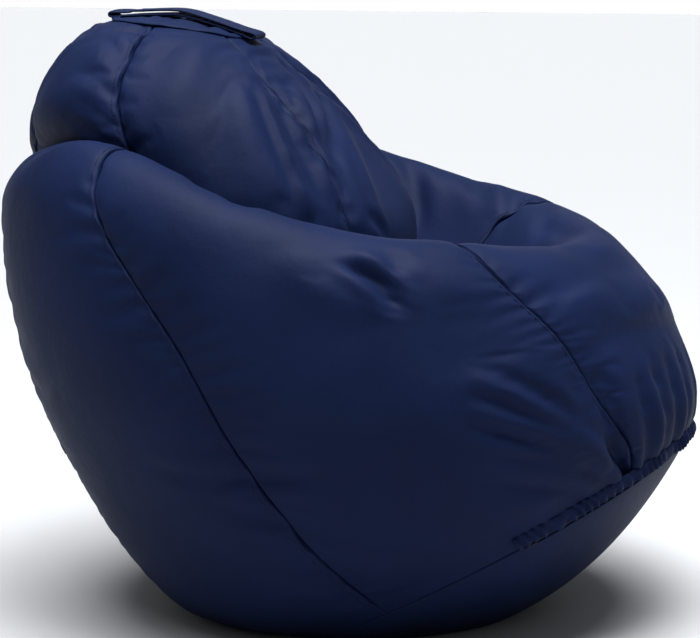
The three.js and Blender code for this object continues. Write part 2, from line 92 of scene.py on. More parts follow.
def normalsOf(mesh):
    flat = np.zeros(len(mesh.vertices) * 3)
    mesh.vertices.foreach_get("normal", flat)
    return flat.reshape(-1, 3)


def addModifier(thing, kind, **settings):
    modifier = thing.modifiers.new(kind.lower(), kind)
    for name, value in settings.items():
        setattr(modifier, name, value)
    return modifier


def unit(vectors):
    return vectors / np.maximum(np.linalg.norm(vectors, axis=-1, keepdims=True), 1e-12)


def between(a, b, c, d, t):
    # the point a share t of the way from b to c, on a smooth line through all four
    return 0.5 * (2 * b + t * (c - a + t * (2 * a - 5 * b + 4 * c - d + t * (3 * b - 3 * c + d - a))))


def runOf(line):
    # how far each point of a line is from its start, along the line
    return np.concatenate([[0], np.cumsum(np.linalg.norm(np.diff(line, axis=0), axis=1))])


def wrapDegrees(angle):
    return (angle + 180) % 360 - 180


def addPiece(thing, body, replaced=None):
    # a finished piece of the object: smooth shaded, riding on its body, with the CAD node it stands for
    # hidden
    smoothShade(thing.data)
    if replaced:
        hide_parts(replaced)
    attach(thing, body)


# ---- camera, floor and light ----
view = {
    "azimuth": -75, "elevation": 9, "distance": 3.6, "lens": 134, "aimHeight": 0.392,
    "floorSize": 40,
}


def makeCamera():
    camera = newObject("camera", bpy.data.cameras.new("camera"))
    a = math.radians(view["azimuth"])
    e = math.radians(view["elevation"])
    back = Vector((math.sin(a) * math.cos(e), -math.cos(a) * math.cos(e), math.sin(e)))
    camera.location = Vector((0, 0, view["aimHeight"])) + back * view["distance"]
    camera.rotation_mode = "QUATERNION"
    camera.rotation_quaternion = (-back).to_track_quat("-Z", "Y")
    camera.data.lens = view["lens"]
    camera.data.clip_end = 60
    scene.camera = camera


def makeLight(name, place, aim, size, power, colour="#ffffff"):
    light = newObject(name, bpy.data.lights.new(name, "AREA"))
    light.data.shape = "DISK"
    light.data.size = size
    light.data.energy = power
    light.data.color = linear(colour)[:3]
    light.location = place
    light.rotation_mode = "QUATERNION"
    light.rotation_quaternion = (Vector(aim) - Vector(place)).to_track_quat("-Z", "Y")


def makeStage():
    bm = bmesh.new()
    bmesh.ops.create_grid(bm, x_segments=1, y_segments=1, size=view["floorSize"] / 2)
    floor = newObject("studio_floor", meshFrom("studio_floor", bm))
    material = bpy.data.materials.new("pale studio paper")
    material.use_nodes = True
    shader = material.node_tree.nodes["Principled BSDF"]
    shader.inputs["Base Color"].default_value = linear("#b0b2b5")
    shader.inputs["Roughness"].default_value = 0.9
    shader.inputs["Specular IOR Level"].default_value = 0.1
    floor.data.materials.append(material)
    floor.location.z = -0.0005
    makeWorld()
    scene.view_settings.view_transform = "Standard"
    makeLight("top_softbox", (-0.6, -0.4, 2.7), (0, 0, 0.4), 1.4, 62)
    makeLight("camera_side_softbox", (-2.2, 0.2, 2.8), (0, 0, 0.7), 1.0, 12)
    sun = newObject("overhead_sky", bpy.data.lights.new("overhead_sky", "SUN"))
    sun.data.energy = 5.6
    sun.data.angle = math.radians(50)


def makeWorld():
    # a dim room with a brighter ceiling and a white backdrop behind the chair
    world = bpy.data.worlds.new("studio")
    world.use_nodes = True
    tree = world.node_tree
    background = tree.nodes["Background"]
    a = math.radians(view["azimuth"])
    behind = (-math.sin(a), math.cos(a), -0.12)
    place = addNode(tree, "ShaderNodeTexCoord")
    facing = addNode(tree, "ShaderNodeVectorMath", {1: behind}, {0: place.outputs["Generated"]},
                     operation="DOT_PRODUCT")
    backdrop = addNode(tree, "ShaderNodeMapRange", {1: 0.90, 2: 0.96}, {"Value": facing.outputs["Value"]})
    parts = addNode(tree, "ShaderNodeSeparateXYZ", {}, {0: place.outputs["Generated"]})
    ceiling = addNode(tree, "ShaderNodeMapRange", {1: -0.1, 2: 1.0, 3: 0.03, 4: 0.40},
                      {"Value": parts.outputs["Z"]})
    mixed = addNode(tree, "ShaderNodeMath", {}, {0: backdrop.outputs[0], 1: ceiling.outputs[0]},
                    operation="MAXIMUM")
    background.inputs["Color"].default_value = linear("#ffffff")
    tree.links.new(mixed.outputs[0], background.inputs["Strength"])
    scene.world = world


makeCamera()
makeStage()
print("camera and studio ready")

# ---- outline of the filled bag, the same as the cover's solids ----
bag = {
    "breadth": 0.883, "height": 0.806, "capRadius": 0.093, "baseRadius": 0.308, "baseTilt": 28.8,
    "baseBulge": 0.110, "baseReach": 0.5266, "crown": 0.998,
}
# y, reaches and heights at the front, front corner, side, back corner and back, then the twist
upperRings = [
    (-0.091, (0.447, 0.447, 0.425, 0.396, 0.385), (0.372, 0.323, 0.180, 0.062, 0.043), 0.03),
    (0.0, (0.515, 0.510, 0.487, 0.464, 0.459), (0.447, 0.416, 0.354, 0.310, 0.310), 0.06),
    (0.034, (0.521, 0.515, 0.498, 0.493, 0.493), (0.521, 0.521, 0.521, 0.533, 0.533), 0.18),
    (0.057, (0.487, 0.487, 0.476, 0.476, 0.481), (0.589, 0.620, 0.670, 0.713, 0.682), 0.42),
    (0.057, (0.442, 0.430, 0.436, 0.436, 0.462), (0.620, 0.658, 0.732, 0.800, 0.733), 0.50),
    (0.057, (0.379, 0.357, 0.379, 0.379, 0.455), (0.602, 0.633, 0.720, 0.806, 0.745), 0.52),
    (0.068, (0.317, 0.294, 0.328, 0.351, 0.441), (0.521, 0.546, 0.633, 0.775, 0.757), 0.53),
    (0.091, (0.249, 0.227, 0.289, 0.317, 0.419), (0.453, 0.471, 0.558, 0.738, 0.769), 0.50),
    (0.136, (0.227, 0.243, 0.274, 0.294, 0.379), (0.521, 0.533, 0.620, 0.765, 0.784), 0.38),
    (0.159, (0.227, 0.272, 0.290, 0.318, 0.345), (0.658, 0.670, 0.740, 0.828, 0.831), 0.36),
    (0.204, (0.176, 0.227, 0.268, 0.284, 0.272), (0.802, 0.804, 0.850, 0.886, 0.892), 0.30),
    (0.243, (0.136, 0.164, 0.198, 0.204, 0.187), (0.898, 0.915, 0.940, 0.957, 0.960), 0.20),
    (0.272, (bag["capRadius"] / bag["breadth"],) * 5, (0.965, 0.975, 0.988, 0.994, 0.994), 0.10),
]
baseShares = (0, 0.25, 0.5, 0.75, 1)
baseEdge = len(baseShares) - 1
capEdge = baseEdge + len(upperRings)
crown = capEdge + 1


def cosineFit(values, angle):
    # the cosine series through five values, 45 degrees apart from front to back
    last = len(values) - 1
    total = 0
    for k in range(last + 1):
        weight = sum((0.5 if i in (0, last) else 1) * v * math.cos(math.pi * k * i / last)
                     for i, v in enumerate(values))
        total = total + weight * (1 if k in (0, last) else 2) / last * np.cos(k * angle)
    return total


def ringPoints(gore):
    tilt = math.radians(bag["baseTilt"])
    radius = bag["baseRadius"]
    baseBack = np.array([0, math.cos(tilt), -math.sin(tilt)])
    baseAxis = np.array([0, math.sin(tilt), math.cos(tilt)])
    centre = np.array([0, -bag["baseReach"] * bag["breadth"] + radius * math.cos(tilt),
                       bag["baseBulge"] * math.cos(tilt)])
    circle = gore + 0.24 * np.sin(gore) - 0.08 * np.sin(2 * gore)
    found = []
    for share in baseShares:
        sag = bag["baseBulge"] * (1 - share * share)
        side = np.outer(share * radius * np.sin(circle), [1, 0, 0])
        found.append(centre + side - np.outer(share * radius * np.cos(circle), baseBack) - baseAxis * sag)
    for y, reach, up, twist in upperRings:
        angle = gore + twist * np.sin(gore)
        out = cosineFit(reach, angle) * bag["breadth"]
        found.append(np.stack([out * np.sin(angle), y * bag["breadth"] - out * np.cos(angle),
                               cosineFit(up, angle) * bag["height"]], axis=1))
    top = [0, upperRings[-1][0] * bag["breadth"], bag["crown"] * bag["height"]]
    found.append(np.tile(top, (len(gore), 1)))
    return np.array(found)


def surfacePoints(gore, level):
    # gore is the angle round the bag from the front, level runs from the middle of the base to the crown
    gore, level = (np.asarray(v, float).ravel() for v in (gore, level))
    rings = ringPoints(gore)
    k = np.minimum(np.floor(level).astype(int), crown - 1)
    t = (level - k)[:, None]
    here = np.arange(len(gore))
    a, b, c, d = (rings[np.clip(k + j, 0, crown), here] for j in (-1, 0, 1, 2))
    points = between(a, b, c, d, t)
    points[:, 2] = np.maximum(points[:, 2], 0)
    return points


def levelAt(gore, level, distance):
    # the level that lies a distance above another, measured on the fabric
    step = 1e-3
    side = np.sign(distance) + (np.asarray(distance) == 0)
    there = surfacePoints(gore, np.full(len(gore), level) + side * step)
    here = surfacePoints(gore, np.full(len(gore), float(level)))
    return level + distance * step / np.linalg.norm(there - here, axis=1)


# ---- skin: one closed shape that the six gores, the base and the cap are cut from ----
skin = {
    "halfGore": 24,          # columns in half a gore
    "nearSeam": (0, 0.0015, 0.0035, 0.006, 0.0085, 0.011, 0.016, 0.024),
    "nearEdge": (0.005, 0.009, 0.014, 0.021, 0.030),     # rows beside the base edge and the cap's edge
    "rowStep": 0.0078, "baseStep": 0.010, "capRings": 8, "floorLift": 0.0012, "baseLift": 0.0002,
}
seamAngles = (-150, -90, -30, 30, 90, 150)
columnTotal = 12 * skin["halfGore"]


def bodyRowLevels(gore):
    # rows from the base edge to the cap's edge: exact distances near both edges, even steps between
    fine = np.linspace(baseEdge, capEdge, 521)
    sampleGores = np.radians(np.arange(-175, 180, 14))
    lines = np.array([surfacePoints(sampleGores, np.full(len(sampleGores), v)) for v in fine])
    run = np.concatenate([[0], np.cumsum(np.linalg.norm(np.diff(lines, axis=0), axis=2).mean(axis=1))])
    near = np.array(skin["nearEdge"])
    count = int((run[-1] - 2 * near[-1]) / skin["rowStep"])
    middle = np.linspace(near[-1], run[-1] - near[-1], count)[1:-1]
    shared = np.interp(middle, run, fine)
    lowest = np.array([levelAt(gore, baseEdge, d) for d in near])
    highest = np.array([levelAt(gore, capEdge, -d) for d in near[::-1]])
    firstFull = np.interp(baseEdge + 1, fine, run)
    share = np.clip((middle - near[-1]) / (firstFull - near[-1]), 0, 1)[:, None]
    start = lowest[-1] + (baseEdge + 1 - lowest[-1]) * share
    rows = np.where(share < 1, start, shared[:, None])
    lastFull = np.interp(capEdge - 1, fine, run)
    share = np.clip((middle - lastFull) / (run[-1] - near[-1] - lastFull), 0, 1)[:, None]
    end = capEdge - 1 + (highest[0] - capEdge + 1) * share
    rows = np.where(share > 0, end, rows)
    edge = np.full((1, len(gore)), float(baseEdge))
    return np.concatenate([edge, lowest, rows, highest, edge * 0 + capEdge])


def skinRows(gore):
    # levels of every row at the given gore angles, and the rows where the base and the body end
    near = np.array(skin["nearEdge"])
    radius = bag["baseRadius"]
    inner = np.linspace(0, radius - near[-1], int(radius / skin["baseStep"]))[:-1] / radius * baseEdge
    baseRows = np.repeat(inner[:, None], len(gore), axis=1)
    baseRim = np.array([levelAt(gore, baseEdge, -d) for d in near[::-1]])
    body = bodyRowLevels(gore)
    capRadius = bag["capRadius"]
    capRim = np.array([capEdge + d / capRadius for d in near])
    capInner = np.linspace(capRim[-1], crown, skin["capRings"] + 1)[1:]
    cap = np.repeat(np.concatenate([capRim, capInner])[:, None], len(gore), axis=1)
    levels = np.concatenate([baseRows, baseRim, body, cap])
    edgeRow = len(baseRows) + len(baseRim)
    return levels, edgeRow, edgeRow + len(body) - 1


def columnGores(levels):
    # gore angle of each column in each row, with columns at set distances from the seams
    half = skin["halfGore"]
    near = np.array(skin["nearSeam"])
    angles = np.zeros((len(levels), columnTotal))
    for h in range(12):
        seam = seamAngles[h // 2]
        towards = -1 if h % 2 == 0 else 1
        seamLevel = levels[:, h // 2]
        aside = [surfacePoints(np.full(len(levels), math.radians(seam + e)), seamLevel) for e in (-1, 1)]
        width = np.maximum(np.linalg.norm(aside[1] - aside[0], axis=1) * 15, 1e-4)
        scale = np.minimum(1, 0.5 * width / near[-1])
        far = near[-1] * scale
        steps = np.linspace(0, 1, half - len(near) + 2)[1:]
        offsets = np.concatenate([near[None] * scale[:, None],
                                  far[:, None] + (width - far)[:, None] * steps[None]], axis=1)
        turn = 30 * offsets / width[:, None]
        for i in range(half):
            away = half - i if towards < 0 else i
            angles[:, h * half + i] = seam + towards * turn[:, away]
    return np.radians(angles)


def makeSkin():
    seams = np.radians(seamAngles)
    seamLevels, edgeRow, capRow = skinRows(seams)
    gores = columnGores(seamLevels)
    rowTotal = len(seamLevels)
    # near the edges a row's level depends on the gore, so each column asks for its own
    levels = skinRows(gores[rowTotal // 3])[0]
    bm = bmesh.new()
    bmesh.ops.create_uvsphere(bm, u_segments=columnTotal, v_segments=rowTotal - 1, radius=1)
    bm.verts.ensure_lookup_table()
    ball = np.array([v.co[:] for v in bm.verts])
    row = np.rint((np.arcsin(np.clip(ball[:, 2], -1, 1)) / np.pi + 0.5) * (rowTotal - 1)).astype(int)
    turn = (np.degrees(np.arctan2(ball[:, 0], -ball[:, 1])) + 180) / 360 * columnTotal
    column = np.rint(turn).astype(int) % columnTotal
    gore = gores[row, column]
    level = levels[row, column]
    points = surfacePoints(gore, level)
    for vert, place in zip(bm.verts, points):
        vert.co = place
    for face in bm.faces:
        face.smooth = True
    bmesh.ops.recalc_face_normals(bm, faces=bm.faces)
    return bm, row, column, gore, level, edgeRow, capRow, rowTotal


# each point's row, column, gore angle and level, and the rows of the base's and the cap's edges
skinMesh, skinRow, skinColumn, skinGore, skinLevel, edgeRow, capRow, rowTotal = makeSkin()
print("skin", len(skinMesh.verts), "points,", rowTotal, "rows, base edge row", edgeRow, "cap row", capRow)


# ---- folds: where the fabric is drawn together, in mm; paths run in gore degrees and levels ----
# valley and ridge are soft dips and rises, crease is a narrow dip with raised shoulders, lap is a fold
# lying over to one side of its path (to the left of it for a positive depth)
folds = [
    # rim crease and the dimple where the pillow's fold meets the arm
    ("crease", 22, 10, [(-50, 8.2), (-48, 7.95), (-48, 7.7), (-50, 7.4)]),
    ("ridge", 6, 22, [(-56, 8.3), (-57, 7.8), (-56, 7.3)]),
    ("crease", 11, 10, [(-43, 8.6), (-43, 8.2), (-45, 7.9)]),
    ("ridge", 5, 22, [(-40, 8.3), (-39, 7.8), (-40, 7.4)]),
    # shallow folds across the side seam, low on the bag
    ("crease", 6, 14, [(-110, 6.1), (-105, 5.95), (-94, 5.85), (-84, 5.8), (-76, 5.75)]),
    ("crease", 6, 14, [(-101, 5.8), (-98, 5.65), (-89, 5.4), (-77, 4.9), (-68, 4.6)]),
    ("valley", 4, 20, [(-95, 5.1), (-91, 4.9), (-83, 4.35), (-76, 4.1)]),
    ("ridge", 3, 26, [(-100, 5.45), (-90, 5.15), (-80, 4.7)]),
    ("valley", 3, 22, [(-118, 5.6), (-108, 5.4), (-98, 5.3)]),
    # folds that fan out from the end of the gathered edge
    ("crease", 9, 11, [(-47, 6.95), (-43, 6.6), (-39, 6.1), (-36, 5.4), (-34, 4.7)]),
    ("ridge", 5, 13, [(-49, 6.8), (-45, 6.45), (-41, 5.95), (-37, 5.3), (-35, 4.7)]),
    ("crease", 8, 10, [(-50, 6.5), (-46, 6.25), (-42, 5.8), (-38, 5.2), (-35, 4.6)]),
    ("ridge", 5, 12, [(-51, 6.3), (-47, 6.0), (-42, 5.55), (-38, 5.0), (-36, 4.55)]),
    ("crease", 8, 11, [(-53, 6.05), (-48, 5.8), (-43, 5.35), (-39, 4.9), (-36, 4.5)]),
    ("crease", 6, 11, [(-54, 5.6), (-49, 5.4), (-44, 5.05), (-40, 4.7), (-37, 4.45)]),
    ("crease", 14, 11, [(-34, 5.2), (-33, 4.8), (-32, 4.5), (-31, 4.2), (-30, 3.95)]),
    ("crease", 14, 11, [(34, 5.2), (33, 4.8), (32, 4.5), (31, 4.2), (30, 3.95)]),
    ("valley", 5, 16, [(-60, 5.4), (-54, 5.1), (-48, 4.8), (-42, 4.5)]),
    ("crease", 6, 12, [(-33, 6.6), (-34, 6.0), (-34, 5.3), (-34, 4.6)]),
    ("crease", 7, 11, [(-29, 6.3), (-31, 5.7), (-33, 5.0), (-34, 4.5)]),
    # vertical folds rising from the gathered edge
    ("lap", 7, 16, [(-25, 6.75), (-26, 6.3), (-28, 5.6), (-30, 4.7)]),
    ("crease", 7, 10, [(-20, 6.2), (-22, 5.6), (-24, 4.9), (-26, 4.2)]),
    ("crease", 6, 9, [(-14, 6.6), (-16, 5.9), (-18, 5.1), (-20, 4.2)]),
    ("ridge", 5, 11, [(-17, 6.4), (-19, 5.6), (-21, 4.7), (-22, 4.2)]),
    ("crease", 6, 9, [(-9, 6.3), (-11, 5.6), (-13, 4.8), (-14, 4.2)]),
    ("crease", 6, 9, [(-2, 6.5), (-4, 5.7), (-6, 4.9), (-7, 4.2)]),
    ("ridge", 4, 11, [(-6, 6.3), (-8, 5.6), (-10, 4.7), (-11, 4.2)]),
    ("crease", 6, 9, [(6, 6.4), (4, 5.6), (2, 4.8), (1, 4.2)]),
    ("crease", 6, 10, [(15, 6.2), (13, 5.5), (10, 4.7), (8, 4.2)]),
    ("crease", 7, 10, [(24, 6.5), (22, 5.7), (19, 4.8), (16, 4.2)]),
    ("crease", 8, 12, [(44, 6.8), (39, 6.2), (35, 5.4), (32, 4.6)]),
    ("crease", 8, 12, [(56, 6.3), (48, 6.0), (41, 5.4), (36, 4.6)]),
    ("crease", 7, 12, [(60, 5.7), (51, 5.5), (44, 5.1), (38, 4.6)]),
    ("ridge", 5, 14, [(52, 6.5), (44, 6.1), (38, 5.5), (34, 4.7)]),
    # facets on the front lip
    ("ridge", 7, 26, [(14, 6.95), (4, 7.15), (-6, 7.3), (-16, 7.45), (-25, 7.45)]),
    ("valley", 7, 24, [(10, 6.5), (2, 6.65), (-8, 6.85), (-18, 6.95), (-26, 6.95)]),
    ("valley", 6, 24, [(8, 8.1), (-2, 8.0), (-12, 8.0), (-22, 8.05)]),
    ("ridge", 5, 24, [(-10, 9.3), (-2, 8.9), (8, 8.7), (18, 8.8)]),
    ("lap", 5, 18, [(-12, 7.8), (-18, 7.7), (-24, 7.6), (-30, 7.55)]),
    ("crease", 5, 14, [(4, 9.6), (12, 9.8), (20, 9.9)]),
    ("valley", 5, 22, [(22, 7.4), (30, 7.8), (38, 8.2)]),
    ("ridge", 5, 24, [(20, 6.9), (30, 7.2), (42, 7.6)]),
    # wrinkles on the far arm and in the hollow
    ("crease", 8, 14, [(47, 9.1), (44, 9.5), (39, 9.85), (34, 10.05)]),
    ("crease", 6, 12, [(36, 9.2), (33, 9.6), (29, 10.0), (25, 10.4)]),
    ("ridge", 5, 16, [(41, 9.2), (37, 9.7), (32, 10.1)]),
    ("crease", 6, 13, [(26, 9.2), (22, 9.6), (16, 10.0), (9, 10.3)]),
    ("crease", 8, 16, [(60, 9.7), (55, 10.1), (51, 10.5), (47, 10.9)]),
    ("crease", 8, 14, [(-20, 10.8), (-10, 11.2), (2, 11.3), (12, 11.2)]),
    ("crease", 6, 12, [(-30, 10.2), (-20, 10.4), (-8, 10.5)]),
    ("valley", 7, 24, [(-60, 9.6), (-66, 9.9), (-74, 10.1)]),
    # long folds down the pillow, from the cap to the hollow
    ("lap", -9, 15, [(-34, 16.7), (-38, 16.0), (-41, 15.5), (-42, 14.8), (-41, 14.2), (-38, 13.5)]),
    ("crease", 8, 12, [(-30, 16.5), (-33, 15.8), (-36, 15.2), (-37, 14.5), (-35, 13.7)]),
    ("ridge", 7, 20, [(-46, 16.4), (-50, 15.6), (-52, 14.9), (-51, 14.1)]),
    ("crease", 5, 9, [(-48, 15.8), (-46, 15.3), (-45, 14.75), (-45, 14.1), (-44, 13.6)]),
    ("crease", 9, 13, [(8, 16.3), (5, 15.9), (-6, 15.6), (-15, 15.25), (-26, 14.65), (-30, 14.0)]),
    ("ridge", 6, 17, [(0, 16.3), (-10, 15.8), (-20, 15.4), (-29, 14.9), (-33, 14.2)]),
    ("crease", 9, 12, [(14, 15.6), (9, 15.35), (-4, 15.1), (-14, 14.95), (-22, 14.7), (-27, 14.1)]),
    ("ridge", 6, 16, [(10, 15.0), (-2, 14.8), (-12, 14.5), (-19, 14.0)]),
    ("crease", 8, 14, [(20, 16.2), (24, 15.4), (27, 14.8), (28, 14.3), (24, 13.6)]),
    ("lap", 7, 16, [(34, 16.4), (37, 15.6), (39, 14.9), (38, 14.2), (34, 13.5)]),
    ("crease", 7, 10, [(-24, 14.1), (-20, 14.0), (-16, 13.8)]),
    ("crease", 8, 12, [(-24, 13.5), (-12, 13.2), (0, 13.1), (12, 13.2)]),
    ("ridge", 6, 26, [(-60, 16.6), (-62, 16.1), (-68, 15.6), (-73, 15.0)]),
    ("valley", 4, 24, [(-72, 16.5), (-77, 16.0), (-80, 15.4)]),
    ("valley", 5, 26, [(-60, 15.2), (-62, 14.6), (-64, 14.0)]),
    # puckers on the pillow's side and back
    ("crease", 6, 14, [(-84, 14.2), (-90, 14.45), (-98, 14.7), (-108, 14.9)]),
    ("crease", 6, 13, [(-88, 13.9), (-96, 14.05), (-104, 14.2), (-114, 14.3)]),
    ("crease", 5, 13, [(-86, 14.9), (-94, 15.2), (-102, 15.4), (-112, 15.5)]),
    ("crease", 6, 13, [(-92, 15.7), (-98, 16.0), (-106, 16.2), (-116, 16.3)]),
    ("valley", 6, 20, [(-90, 16.8), (-98, 16.7), (-106, 16.8)]),
    ("crease", 7, 13, [(-96, 9.8), (-103, 9.6), (-112, 9.3), (-122, 9.0)]),
    ("crease", 6, 14, [(96, 9.9), (104, 9.6), (114, 9.3), (124, 9.1)]),
    ("crease", 7, 14, [(150, 9.6), (160, 9.4), (172, 9.4), (184, 9.5)]),
    ("crease", 6, 15, [(80, 14.2), (90, 14.6), (100, 14.9), (110, 15.0)]),
    ("crease", 6, 14, [(88, 15.6), (96, 15.9), (106, 16.1)]),
    ("lap", 6, 18, [(52, 16.6), (58, 15.9), (62, 15.2), (64, 14.5)]),
    ("crease", 6, 16, [(140, 16.2), (150, 15.6), (158, 15.0), (170, 14.6)]),
    ("crease", 6, 16, [(-134, 16.4), (-142, 15.7), (-150, 15.1), (-160, 14.7)]),
    ("crease", 6, 16, [(196, 16.0), (190, 15.4), (182, 14.8), (176, 14.2)]),
    # folds low on the far side and the back
    ("crease", 6, 15, [(70, 5.4), (82, 5.6), (94, 5.7), (106, 5.6)]),
    ("valley", 5, 20, [(78, 4.8), (90, 5.0), (102, 5.2), (116, 5.2)]),
    ("crease", 6, 15, [(134, 5.6), (146, 5.5), (158, 5.6), (170, 5.5)]),
    ("crease", 5, 15, [(-134, 5.2), (-146, 5.4), (-158, 5.4), (-170, 5.5)]),
    ("crease", 5, 15, [(-126, 6.6), (-138, 6.4), (-150, 6.5), (-162, 6.4)]),
    ("crease", 5, 15, [(126, 6.8), (140, 6.6), (154, 6.6), (168, 6.8)]),
]
foldSettings = {
    "taper": 0.7, "strength": 1.3,      # strength: the cloth simulation eases every fold a little
    "reach": 4, "flatFrom": 0.010, "fullOver": 0.016,       # no fold lies beside the zipper
}


def smoothPath(path, count=48):
    # evenly spread places on a smooth line through the path's points
    knots = np.array(path, float)
    knots = np.concatenate([2 * knots[:1] - knots[1:2], knots, 2 * knots[-1:] - knots[-2:-1]])
    spans = len(path) - 1
    found = []
    for place in np.linspace(0, spans, count):
        k = min(int(place), spans - 1)
        found.append(between(*knots[k:k + 4], place - k))
    return np.array(found)


def foldProfile(kind, side):
    # height across a fold for a signed distance in fold widths
    x = np.abs(side)
    if kind == "valley":
        return -np.exp(-x * x)
    if kind == "ridge":
        return np.exp(-x * x)
    if kind == "crease":
        return 0.45 * np.exp(-(x - 1.5) ** 2) - np.exp(-np.abs(x) ** 1.3)
    return np.tanh(side / 0.3) * np.exp(-x / 1.1)


def skinLine(level):
    # for every skin point, the outline's point in the same gore direction at one level
    return surfacePoints(skinGore, np.full(len(skinGore), float(level)))


def foldShift(points, normals):
    # how far each point moves along its normal for all the folds, in metres
    shift = np.zeros(len(points))
    for kind, depth, width, path in folds:
        width = width / 1000
        places = smoothPath(path)
        gore = np.radians(places[:, 0])
        line = surfacePoints(gore, places[:, 1])
        ahead = unit(np.gradient(line, axis=0))
        sideways = surfacePoints(gore + 1e-3, places[:, 1]) - line
        upwards = surfacePoints(gore, places[:, 1] + 1e-3) - line
        outward = unit(np.cross(sideways, upwards))
        across = np.cross(outward, ahead)
        reach = foldSettings["reach"] * width
        low = line.min(axis=0) - reach
        high = line.max(axis=0) + reach
        near = np.nonzero(((points > low) & (points < high)).all(axis=1))[0]
        gaps = points[near][:, None] - line[None]
        distance = np.linalg.norm(gaps, axis=2)
        closest = distance.argmin(axis=1)
        here = np.arange(len(near))
        away = distance[here, closest]
        side = np.sign((gaps[here, closest] * across[closest]).sum(axis=1))
        along = closest / (len(line) - 1)
        taper = np.maximum(np.sin(np.pi * along), 0) ** foldSettings["taper"]
        facing = (normals[near] * outward[closest]).sum(axis=1)
        weight = np.clip((facing - 0.1) / 0.5, 0, 1) * taper
        height = foldSettings["strength"] * depth / 1000
        shift[near] += height * weight * foldProfile(kind, side * away / width)
    fromEdge = np.linalg.norm(points - skinLine(baseEdge), axis=1)
    return shift * np.clip((fromEdge - foldSettings["flatFrom"]) / foldSettings["fullOver"], 0, 1)


def softNoise(points, size, seed):
    return np.array([noise.noise(Vector(p) / size + Vector((seed, seed * 0.7, -seed))) for p in points])


def fromSeam():
    # every skin point's distance from the nearest seam, negative on its lower gore side, and that seam
    gore = np.degrees(skinGore)
    turns = np.abs(wrapDegrees(gore[:, None] - np.array(seamAngles)))
    nearest = np.array(seamAngles)[turns.argmin(1)]
    line = surfacePoints(np.radians(nearest), skinLevel)
    flat = surfacePoints(skinGore, skinLevel)
    side = np.sign(wrapDegrees(gore - nearest))
    return np.linalg.norm(flat - line, axis=1) * side, nearest


# ---- cloth: the skin is blown up a little with extra fabric beside the seams, so that it puckers ----
drape = {
    "frames": 18, "quality": 6, "massPerPoint": 0.05, "tension": 40, "compression": 30, "shear": 12,
    "bending": 0.6, "pressure": 55, "hold": 0.2, "holdStiffness": 1.2, "furthest": 0.013,
    "extra": 0.06, "tight": 0.02,       # spare cloth at weight 0, shrunk cloth at weight 1
    "spare": {"all": 0.12, "seam": 0.5, "front": 0.75, "pillow": 0.34},
    "spareSeam": 0.02, "spareSeamWidth": 0.03, "frontSpan": 75, "frontLevels": 1.6, "pillowLevel": 12.5,
    "seamLine": 0.003, "edgeHeld": 0.018, "edgeEase": 0.022, "capHeld": 0.02, "capHold": 0.8,
    "restHeight": 0.006,
}


def clothSkin(thing, points, holdWeight, tightWeight):
    cloth = addModifier(thing, "CLOTH")
    settings = cloth.settings
    hold = thing.vertex_groups.new(name="hold")
    size = thing.vertex_groups.new(name="size")
    for i, (held, tight) in enumerate(zip(holdWeight, tightWeight)):
        hold.add([i], float(held), "REPLACE")
        size.add([i], float(tight), "REPLACE")
    settings.quality = drape["quality"]
    settings.mass = drape["massPerPoint"]
    settings.tension_stiffness = drape["tension"]
    settings.compression_stiffness = drape["compression"]
    settings.shear_stiffness = drape["shear"]
    settings.bending_stiffness = drape["bending"]
    settings.vertex_group_mass = "hold"
    settings.pin_stiffness = drape["holdStiffness"]
    settings.vertex_group_shrink = "size"
    settings.shrink_min = -drape["extra"]
    settings.shrink_max = drape["tight"]
    settings.use_pressure = True
    settings.uniform_pressure_force = drape["pressure"]
    settings.effector_weights.gravity = 0
    cloth.point_cache.frame_start = 1
    cloth.point_cache.frame_end = drape["frames"]
    for frameNumber in range(1, drape["frames"] + 1):
        scene.frame_set(frameNumber)
    evaluated = thing.evaluated_get(bpy.context.evaluated_depsgraph_get())
    settled = pointsOf(evaluated.to_mesh())
    evaluated.to_mesh_clear()
    scene.frame_set(1)
    thing.modifiers.remove(cloth)
    thing.vertex_groups.clear()
    move = settled - points
    length = np.linalg.norm(move, axis=1, keepdims=True)
    limit = drape["furthest"]
    return points + move * np.minimum(1, limit / np.maximum(length, 1e-9))


def drapeSkin(thing, points):
    # how far each point is held in place, and how much cloth it has to spare
    spare = drape["spare"]
    gap = np.abs(fromSeam()[0])
    flat = surfacePoints(skinGore, skinLevel)
    gore = wrapDegrees(np.degrees(skinGore))
    besideSeam = np.exp(-((gap - drape["spareSeam"]) / drape["spareSeamWidth"]) ** 2)
    extra = spare["all"] + (spare["seam"] - spare["all"]) * besideSeam
    above = np.maximum(skinLevel - baseEdge, 0)
    front = np.exp(-(gore / drape["frontSpan"]) ** 4) * np.exp(-above / drape["frontLevels"])
    extra = np.maximum(extra, spare["front"] * front)
    extra = np.maximum(extra, spare["pillow"] * np.clip(skinLevel - drape["pillowLevel"], 0, 1))
    tight = drape["extra"] / (drape["extra"] + drape["tight"]) * (1 - extra)
    tight[gap < drape["seamLine"]] = 1
    fromEdge = np.linalg.norm(flat - skinLine(baseEdge), axis=1)
    free = np.clip((fromEdge - drape["edgeHeld"]) / drape["edgeEase"], 0, 1)
    hold = np.maximum(drape["hold"], 1 - free * (1 - drape["hold"]))
    hold[skinLevel < baseEdge] = 1
    fromCap = np.linalg.norm(flat - skinLine(capEdge), axis=1)
    hold = np.maximum(hold, drape["capHold"] * np.exp(-(fromCap / drape["capHeld"]) ** 2))
    hold[flat[:, 2] < drape["restHeight"]] = 1
    return clothSkin(thing, points, hold, tight)


